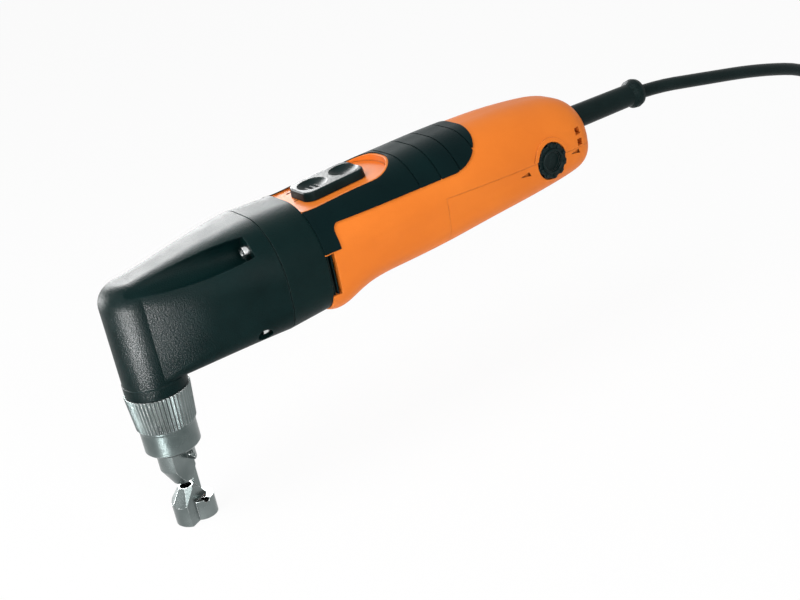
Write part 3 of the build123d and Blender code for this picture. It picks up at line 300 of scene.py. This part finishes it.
def banded(made, axis, spacing, strength):
    """Adds ridges across an axis, such as a stack's sheets or a winding's wires."""
    tree = made.node_tree
    shader = tree.nodes["Principled BSDF"]
    place = add(tree, "TexCoord").outputs["Object"]
    wave = {"Vector": place, "Scale": WAVE_SCALE / spacing, "Distortion": WAVE_DRIFT}
    bands = add(tree, "TexWave", wave, bands_direction=axis).outputs["Fac"]
    below = shader.inputs["Normal"].links[0].from_socket
    relief = {"Height": bands, "Normal": below, "Strength": strength, "Distance": spacing * RIDGE_HEIGHT}
    tree.links.new(add(tree, "Bump", relief).outputs["Normal"], shader.inputs["Normal"])


SHEET_DARK = (0.14, 0.145, 0.15)
SHEET_LIGHT = (0.22, 0.225, 0.23)
SHEET_PITCH = 0.0005
COPPER_DARK = (0.36, 0.105, 0.035)
COPPER_LIGHT = (0.55, 0.19, 0.07)
COPPER_BRIGHT = (0.68, 0.30, 0.14)
WIRE_PITCH = 0.0007
CARBON_DARK = (0.012, 0.012, 0.013)
CARBON_LIGHT = (0.030, 0.030, 0.032)
stacked_sheets = finish(
    "stacked_sheets", SHEET_DARK, SHEET_LIGHT, rough=0.42, grain=800.0, depth=0.15, metallic=1.0
)
banded(stacked_sheets, "X", SHEET_PITCH, strength=0.5)
varnished_wire = finish(
    "varnished_wire", COPPER_DARK, COPPER_LIGHT, rough=0.28, grain=600.0, depth=0.1, metallic=0.8
)
banded(varnished_wire, "X", WIRE_PITCH, strength=0.6)
segment_copper = finish(
    "segment_copper", COPPER_LIGHT, COPPER_BRIGHT, rough=0.3, grain=500.0, depth=0.15, metallic=1.0
)
brush_carbon = finish("brush_carbon", CARBON_DARK, CARBON_LIGHT, rough=0.55, grain=1500.0, depth=0.3)
coat(stacked_sheets, "stator_core", "armature_core")
coat(varnished_wire, "left_field_coil", "right_field_coil", "armature_winding")
coat(segment_copper, "commutator")
coat(brush_carbon, "left_carbon_brush", "right_carbon_brush")


# Inner mouldings: fan, brush holders, switch and speed modules, switch bar and cord clamp.
# They are dark glass-filled plastic with a dull, slightly rough skin.
FILLED_DARK = (0.030, 0.032, 0.034)
FILLED_LIGHT = (0.052, 0.055, 0.057)
filled_plastic = finish("filled_plastic", FILLED_DARK, FILLED_LIGHT, rough=0.5, grain=1400.0, depth=0.35)
coat(
    filled_plastic, "fan", "left_brush_holder", "right_brush_holder", "switch_bar", "switch_module",
    "speed_module", "cord_clamp"
)


# Motor housing and rear cover: orange mouldings with a fine eroded grain, screwed together end to end.
# Seams, slots and sunk setting marks are darkened with painted shade where little open space is around
# them.
CREVICE_SHADE_REACH = 0.0016
CREVICE_SHADE_SAMPLES = 8
CREVICE_SHADE_MOST = 0.9
CREVICE_SHADE_FULL = 0.30
CREVICE_SHADE_START = 0.78


def painted_crevice_shade(made, colour):
    """Paints shade into a finish's seams and crevices, where little light gets in."""
    tree = made.node_tree
    base = tree.nodes["Principled BSDF"].inputs["Base Color"]
    unshaded = base.links[0].from_socket
    hollow = add(tree, "AmbientOcclusion", {"Distance": CREVICE_SHADE_REACH}, samples=CREVICE_SHADE_SAMPLES, only_local=True)
    share = spread(tree, hollow.outputs["AO"], CREVICE_SHADE_MOST, 0.0, CREVICE_SHADE_FULL, CREVICE_SHADE_START)
    tree.links.new(laid_over(tree, share, unshaded, colour), base)


ORANGE_DEEP = (0.740, 0.183, 0.0235)
ORANGE_CLEAR = (0.810, 0.213, 0.0285)
ORANGE_EDGE = (0.86, 0.30, 0.07)
ORANGE_CREVICE_SHADE = (0.060, 0.014, 0.004)
orange_moulding = finish(
    "orange_moulding", ORANGE_DEEP, ORANGE_CLEAR, rough=0.42, grain=1900.0, depth=0.16, patch=25.0,
    worn=ORANGE_EDGE, gloss=0.08
)
# Painted shade in the seams, slots and sunk marks of the housing and the rear cover.
painted_crevice_shade(orange_moulding, ORANGE_CREVICE_SHADE)
coat(orange_moulding, "motor_housing", "rear_cover")


# Ribs in the front cooling slots: two thin black bars on each side, of the flange's plastic.
# They are moulded across each slot, between flange and shell, and keep fingers and chips out.
def cuboid(shape, middle, size, turn=0.0):
    """Adds a box, leaning about Y, to a mesh in the making."""
    corners = bmesh.ops.create_cube(shape, size=1.0)["verts"]
    bmesh.ops.scale(shape, verts=corners, vec=size)
    bmesh.ops.rotate(shape, verts=corners, cent=(0, 0, 0), matrix=Matrix.Rotation(turn, 3, "Y"))
    bmesh.ops.translate(shape, verts=corners, vec=middle)


VENT_LOW = 0.0879
VENT_HIGH = 0.1076
VENT_DEPTH = 0.0285
VENT_RIBS = (0.0803, 0.0821)
RIB_SIZE = (0.0006, 0.0030, VENT_HIGH - VENT_LOW)
rib_shape = bmesh.new()
for side in (-1, 1):
    for rib_x in VENT_RIBS:
        cuboid(rib_shape, (rib_x, side * VENT_DEPTH, (VENT_LOW + VENT_HIGH) / 2), RIB_SIZE)
settle(rib_shape, "vent_ribs", flange_moulding, "housing")


# Marks on the switch panel: two dashes and a bar, laid on the orange floor as thin sheets of painted shade.
# They lie along the panel, which rises towards the grip. Each row is a place and a length and width.
MARK_SHADE_DARK = (0.018, 0.006, 0.003)
MARK_SHADE_BROWN = (0.035, 0.011, 0.005)
MARK_THICKNESS = 0.0002
PANEL_START_X = 0.079
PANEL_START_Z = 0.1242
PANEL_RISE = 0.061
PANEL_LEAN = math.atan(PANEL_RISE)
PANEL_MARKS = [
    ((0.0874, 0.0003), (0.0034, 0.0005)),
    ((0.0887, 0.0026), (0.0034, 0.0005)),
    ((0.0907, 0.0126), (0.0046, 0.0009)),
]
# The sheets' dark brown is painted shade, standing for the shadow inside sunk marks.
mark_shadow = finish("mark_shadow", MARK_SHADE_DARK, MARK_SHADE_BROWN, rough=0.6, grain=1500.0, depth=0.2, gloss=0.1)
mark_shape = bmesh.new()
for (mark_x, mark_y), (mark_length, mark_width) in PANEL_MARKS:
    mark_z = PANEL_START_Z + (mark_x - PANEL_START_X) * PANEL_RISE
    cuboid(mark_shape, (mark_x, mark_y, mark_z), (mark_length, mark_width, MARK_THICKNESS), -PANEL_LEAN)
settle(mark_shape, "panel_marks", mark_shadow, "housing")


# Grip inlay: saddle of soft black rubber, moulded over the top and the shoulders of the housing.
# It is matt and a little dusty.
RUBBER_DEEP = (0.0006, 0.0070, 0.0078)
RUBBER_DUSTY = (0.0016, 0.0105, 0.0112)
grip_rubber = finish(
    "grip_rubber", RUBBER_DEEP, RUBBER_DUSTY, rough=0.58, grain=1250.0, depth=0.30, patch=38.0, gloss=0.05
)
coat(grip_rubber, "grip_inlay")


# Switch slider and speed dial: black moulded plastic, rubbed smooth where a thumb moves them.
# The slider runs in the panel's slot, and the dial turns in a round opening between housing and rear cover.
SWITCH_DARK = (0.0020, 0.0090, 0.0090)
SWITCH_LIGHT = (0.0040, 0.0130, 0.0130)
SWITCH_EDGE = (0.035, 0.040, 0.040)
SWITCH_PATCH = 120.0
# The dial's paler edges are partly wear and partly a painted highlight for the glints on its ridges and
# lobes.
DIAL_EDGE_WEAR_AND_HIGHLIGHT = (0.08, 0.09, 0.09)
rubbed_plastic = finish(
    "rubbed_plastic", SWITCH_DARK, SWITCH_LIGHT, rough=0.34, grain=1500.0, depth=0.22, patch=SWITCH_PATCH,
    worn=SWITCH_EDGE, gloss=0.10
)
dial_plastic = finish(
    "dial_plastic", SWITCH_DARK, SWITCH_LIGHT, rough=0.26, grain=1500.0, depth=0.25, patch=SWITCH_PATCH,
    worn=DIAL_EDGE_WEAR_AND_HIGHLIGHT, gloss=0.10
)
coat(rubbed_plastic, "switch_slider")
coat(dial_plastic, "speed_dial")


# Relief on the dial's face: a ridge on each lobe for the thumb, and a rounded ring about the sunk middle.
# It is moulded in one with the dial and turns with it.
DIAL_MIDDLE = Vector((0.212, -0.0264, 0.1051))
DIAL_LOBES = 10
LOBE_CIRCLE = 0.0074
LOBE_RIDGE = (0.0018, 0.0014, 0.0011)
LOBE_ROUND = 0.0003
BEZEL_INNER = 0.0050
BEZEL_OUTER = 0.0062
BEZEL_ROOT = -0.0002
BEZEL_RISE = 0.0009
BEZEL_ROUND = 0.0003
BEZEL_STEPS = 48
BEZEL_PROFILE = [
    (BEZEL_INNER, BEZEL_ROOT),
    (BEZEL_INNER, BEZEL_RISE - BEZEL_ROUND),
    (BEZEL_INNER + BEZEL_ROUND, BEZEL_RISE),
    (BEZEL_OUTER - BEZEL_ROUND, BEZEL_RISE),
    (BEZEL_OUTER, BEZEL_RISE - BEZEL_ROUND),
    (BEZEL_OUTER, BEZEL_ROOT),
    (BEZEL_INNER, BEZEL_ROOT),
]
relief_shape = bmesh.new()
for lobe in range(DIAL_LOBES):
    lobe_angle = 2 * math.pi * (lobe + 0.5) / DIAL_LOBES
    outward = Vector((math.cos(lobe_angle), 0.0, math.sin(lobe_angle)))
    cuboid(relief_shape, DIAL_MIDDLE + outward * LOBE_CIRCLE, LOBE_RIDGE, -lobe_angle)
bmesh.ops.bevel(
    relief_shape, geom=relief_shape.edges[:], offset=LOBE_ROUND, segments=2, profile=0.5, affect="EDGES",
    material=-1
)
bezel_points = [DIAL_MIDDLE + Vector((radius, -rise, 0.0)) for radius, rise in BEZEL_PROFILE]
spun(relief_shape, bezel_points, DIAL_MIDDLE, (0, 1, 0), BEZEL_STEPS)
settle(relief_shape, "dial_relief", dial_plastic, "dial")


# Mains cord: round rubber lead from the clamp, out through its sleeve, down to the floor and into a hank.
# The points are the lead's route; the hank's turns run in and out again through four layers.
LEAD_DEEP = (0.0030, 0.0095, 0.0095)
LEAD_DUSTY = (0.0060, 0.0140, 0.0138)
CORD_DIAMETER = 0.007
LEAD_ROUTE = [
    (0.267, 0.0, 0.1114), (0.300, 0.0, 0.1114), (0.340, 0.0, 0.1042), (0.384, 0.0, 0.0962),
    (0.427, 0.002, 0.0836), (0.471, 0.013, 0.0520), (0.497, 0.029, 0.020), (0.530, 0.0365, 0.0050),
    (0.566, 0.0365, 0.0050), (0.588, 0.0325, 0.0050), (0.616, 0.0235, 0.0050),
]
TAIL_ROUTE = [
    (0.649, 0.0134, 0.0278), (0.660, 0.0134, 0.0278), (0.680, 0.0090, 0.0370), (0.700, 0.0090, 0.0370),
]
HANK_MIDDLE = 0.640
HANK_LOW = 0.0050
LAYER_RISE = 0.0076
FOLD_CENTRE = 0.063
FOLD_RADIUS = 0.021
FOLD_PITCH = 0.0080
FOLD_STEPS = 4
WAIST_START = 0.0090
WAIST_PITCH = 0.0088
BEND_SHARES = (0.0, 0.62)
QUARTERS = 20
QUARTERS_PER_LAYER = 6


def loops_out(quarter):
    """Loops outside the innermost one."""
    return abs(QUARTERS_PER_LAYER - quarter % (2 * QUARTERS_PER_LAYER)) / 4


def layer_height(quarter):
    """Height of a station; the waist stations between two layers lie half way up."""
    layer, late = divmod(quarter, QUARTERS_PER_LAYER)
    if late == 0 and quarter:
        layer -= 0.5
    return HANK_LOW + LAYER_RISE * layer


def quarter_points(quarter):
    """Control points from one station up to the next: a long bend from the waist and a tight end turn."""
    waist_quarter, end_quarter = (quarter, quarter + 1) if quarter % 2 == 0 else (quarter + 1, quarter)
    waist = WAIST_START + loops_out(waist_quarter) * WAIST_PITCH
    fold = FOLD_RADIUS + loops_out(end_quarter) * FOLD_PITCH
    bend = (FOLD_CENTRE**2 + waist**2 - fold**2) / (2 * (fold - waist))
    lean = math.asin(FOLD_CENTRE / (fold + bend))
    flat = []
    for share in BEND_SHARES:
        angle = lean * share
        flat.append((bend * math.sin(angle), waist + bend * (1 - math.cos(angle))))
    turn = (math.pi / 2 + lean) / FOLD_STEPS
    reach = fold / math.cos(turn / 2)
    for step in range(FOLD_STEPS):
        angle = turn * (FOLD_STEPS - step - 0.5)
        flat.append((FOLD_CENTRE + reach * math.cos(angle), reach * math.sin(angle)))
    if quarter % 2:
        flat.reverse()
    side_x = 1 if quarter % 4 in (0, 1) else -1
    side_y = 1 if quarter % 4 in (0, 3) else -1
    low, high = layer_height(quarter), layer_height(quarter + 1)
    count = len(flat)
    return [
        (HANK_MIDDLE + side_x * x, side_y * y, low + (high - low) * (i + 0.5) / count)
        for i, (x, y) in enumerate(flat)
    ]


cord_points = list(LEAD_ROUTE)
for quarter in range(QUARTERS):
    cord_points += quarter_points(quarter)
cord_points += TAIL_ROUTE
cord_curve = bpy.data.curves.new("mains_lead", "CURVE")
cord_curve.dimensions = "3D"
cord_curve.bevel_depth = CORD_DIAMETER / 2
cord_curve.bevel_resolution = 5
cord_curve.use_fill_caps = True
lead_spline = cord_curve.splines.new("NURBS")
lead_spline.points.add(len(cord_points) - 1)
for spot, place in zip(lead_spline.points, cord_points):
    spot.co = (*place, 1.0)
lead_spline.order_u = 3
lead_spline.use_endpoint_u = True
lead_spline.resolution_u = 6
mains_lead = bpy.data.objects.new("mains_lead", cord_curve)
bpy.context.scene.collection.objects.link(mains_lead)
lead_rubber = finish(
    "lead_rubber", LEAD_DEEP, LEAD_DUSTY, rough=0.36, grain=1300.0, depth=0.18, patch=70.0, gloss=0.06
)
coat(lead_rubber, "mains_lead", "inner_cord", "cord_sleeve")
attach(mains_lead, "housing")
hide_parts("mains_cord", "cord_hank")


# Plug and its pins: black rubber moulded on to the lead's end, and two pins of plated brass.
# It lies on top of the hank.
BRASS_DARK = (0.56, 0.50, 0.36)
BRASS_LIGHT = (0.72, 0.67, 0.52)
plug_moulding = finish(
    "plug_moulding", LEAD_DEEP, LEAD_DUSTY, rough=0.48, grain=1500.0, depth=0.25, worn=SWITCH_EDGE
)
plated_brass = finish(
    "plated_brass", BRASS_DARK, BRASS_LIGHT, rough=0.22, grain=700.0, depth=0.1, metallic=1.0
)
coat(plug_moulding, "mains_plug")
coat(plated_brass, "plug_pins")


# Strap round the hank's waist: woven band with its end overlapped and pressed down.
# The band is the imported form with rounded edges, and the loose end lies on top of it.
STRAP_DARK = (0.010, 0.011, 0.012)
STRAP_LIGHT = (0.030, 0.032, 0.034)
STRAP_TOP = 0.0328
STRAP_WIDTH = 0.012
STRAP_THICKNESS = 0.0012
STRAP_ROUND = 0.0004
STRAP_MERGE = 0.00001
WEAVE_PITCH = 0.0011
FLAP_WIDTH = STRAP_WIDTH * 0.96
FLAP_LENGTH = 0.022
FLAP_Y = 0.008
FLAP_Z = STRAP_TOP + STRAP_THICKNESS * 0.45
woven_band = finish("woven_band", STRAP_DARK, STRAP_LIGHT, rough=0.7, grain=1100.0, depth=0.5, patch=900.0)
banded(woven_band, "X", WEAVE_PITCH, strength=0.6)
strap_shape = bmesh.new()
strap_shape.from_mesh(nodes["hank_tie"].data)
bmesh.ops.remove_doubles(strap_shape, verts=strap_shape.verts, dist=STRAP_MERGE)
cuboid(strap_shape, (HANK_MIDDLE, FLAP_Y, FLAP_Z), (FLAP_WIDTH, FLAP_LENGTH, STRAP_THICKNESS))
hank_strap = settle(strap_shape, "hank_strap", woven_band, "housing")
rounded = hank_strap.modifiers.new("rounded", "BEVEL")
rounded.width = STRAP_ROUND
rounded.segments = 3
rounded.limit_method = "ANGLE"
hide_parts("hank_tie")


# Floor and backdrop: a pale, matt floor under the die's foot, and a white room around it.
# Both show white to the camera and in gloss, and the floor keeps the tool's shadow.
FLOOR_HALF = 6.0
FLOOR_WHITE = (0.90, 0.90, 0.90)
FLOOR_GLOW = 0.94
ROOM_LEVEL = 0.25


def shown_rays(tree):
    """One for the rays that show a background: the camera's, those off gloss and those through glass."""
    rays = add(tree, "LightPath").outputs
    shown = rays["Is Camera Ray"]
    for kind in ("Is Glossy Ray", "Is Transmission Ray"):
        shown = add(tree, "Math", {0: shown, 1: rays[kind]}, operation="MAXIMUM").outputs["Value"]
    return shown


floor_mesh = bpy.data.meshes.new("floor")
floor_shape = bmesh.new()
bmesh.ops.create_grid(floor_shape, x_segments=1, y_segments=1, size=FLOOR_HALF)
floor_shape.to_mesh(floor_mesh)
floor_shape.free()
floor = bpy.data.objects.new("floor", floor_mesh)
bpy.context.scene.collection.objects.link(floor)
floor_paint = bpy.data.materials.new("floor_paint")
floor_paint.use_nodes = True
floor_tree = floor_paint.node_tree
floor_tree.nodes.remove(floor_tree.nodes["Principled BSDF"])
matt = add(floor_tree, "BsdfDiffuse", {"Color": (*FLOOR_WHITE, 1)}).outputs["BSDF"]
glow = add(floor_tree, "Emission", {"Color": (1, 1, 1, 1), "Strength": 1.0}).outputs["Emission"]
floor_share = add(floor_tree, "Math", {0: shown_rays(floor_tree), 1: FLOOR_GLOW}, operation="MULTIPLY")
floor_mix = add(floor_tree, "MixShader", {0: floor_share.outputs["Value"], 1: matt, 2: glow})
floor_tree.links.new(floor_mix.outputs["Shader"], floor_tree.nodes["Material Output"].inputs["Surface"])
floor_mesh.materials.append(floor_paint)

world = bpy.data.worlds.new("studio")
bpy.context.scene.world = world
world.use_nodes = True
room = world.node_tree
backdrop = room.nodes["Background"]
backdrop.inputs["Color"].default_value = (1, 1, 1, 1)
room_level = spread(room, shown_rays(room), ROOM_LEVEL, 1.0, 0.0, 1.0)
room.links.new(room_level, backdrop.inputs["Strength"])


# Studio lamps: soft boxes above, in front and on the left give the light.
# The cards and the narrow lamp by the nose only show as sheen in glossy surfaces.
def hang(lamp, place, target, card):
    """Hangs a lamp facing its target, out of the camera's sight; a card only shows in glossy surfaces."""
    box = bpy.data.objects.new(lamp.name, lamp)
    box.location = place
    box.rotation_euler = (Vector(target) - Vector(place)).to_track_quat("-Z", "Y").to_euler()
    box.visible_diffuse = not card
    box.visible_camera = False
    bpy.context.scene.collection.objects.link(box)


def soft_box(name, place, target, size, power, card=False):
    """Square soft light."""
    lamp = bpy.data.lights.new(name, "AREA")
    lamp.size = size
    lamp.energy = power
    hang(lamp, place, target, card)


def snoot(name, place, target, cone, size, power):
    """Narrow light with a soft edge, for the sheen down the nose."""
    lamp = bpy.data.lights.new(name, "SPOT")
    lamp.spot_size = cone
    lamp.spot_blend = 0.7
    lamp.shadow_soft_size = size
    lamp.energy = power
    hang(lamp, place, target, card=True)


BODY_MIDDLE = (0.11, 0.0, 0.10)
NOSE_MIDDLE = (0.0, 0.0, 0.09)
NOSE_EDGE = (-0.012, -0.009, 0.101)
HEAD_TOP = (0.03, 0.0, 0.12)
soft_box("roof_box", (-0.42, 0.0, 0.88), BODY_MIDDLE, size=0.55, power=5.5)
soft_box("front_box", (-0.80, -0.35, 0.50), BODY_MIDDLE, size=0.4, power=3.5)
soft_box("side_box", (-0.05, -1.10, 0.50), BODY_MIDDLE, size=0.6, power=7.0)
soft_box("rim_card", (-0.46, 0.78, 0.22), NOSE_MIDDLE, size=0.35, power=16.0, card=True)
snoot("nose_lamp", (-0.161, -0.135, 0.02), NOSE_EDGE, cone=0.15, size=0.025, power=85.0)
soft_box("nose_card", (-0.165, -0.115, 0.03), NOSE_MIDDLE, size=0.08, power=0.7, card=True)
soft_box("back_card", (0.20, 0.80, 0.45), HEAD_TOP, size=0.5, power=15.0, card=True)


# Camera: the photograph's viewpoint, from the front left and above, with the same perspective.
# The lens has no shift, and everything is in focus.
SENSOR_WIDTH = 36.0
FOCAL_LENGTH = 60.18
NEAR_LIMIT = 0.01
VIEW_PLACE = (-0.16292, -0.51632, 0.31621)
VIEW_RIGHT = Vector((0.8128, -0.5520, -0.1861))
VIEW_UP = Vector((0.3691, 0.2408, 0.8976))
VIEW_BACK = VIEW_RIGHT.cross(VIEW_UP)
camera = bpy.data.cameras.new("camera")
camera.sensor_width = SENSOR_WIDTH
camera.lens = FOCAL_LENGTH
camera.clip_start = NEAR_LIMIT
viewpoint = bpy.data.objects.new("viewpoint", camera)
turned_view = Matrix((VIEW_RIGHT, VIEW_UP, VIEW_BACK)).transposed().to_4x4()
viewpoint.matrix_world = Matrix.Translation(VIEW_PLACE) @ turned_view
bpy.context.scene.collection.objects.link(viewpoint)
bpy.context.scene.camera = viewpoint
bpy.context.scene.view_settings.view_transform = "Standard"
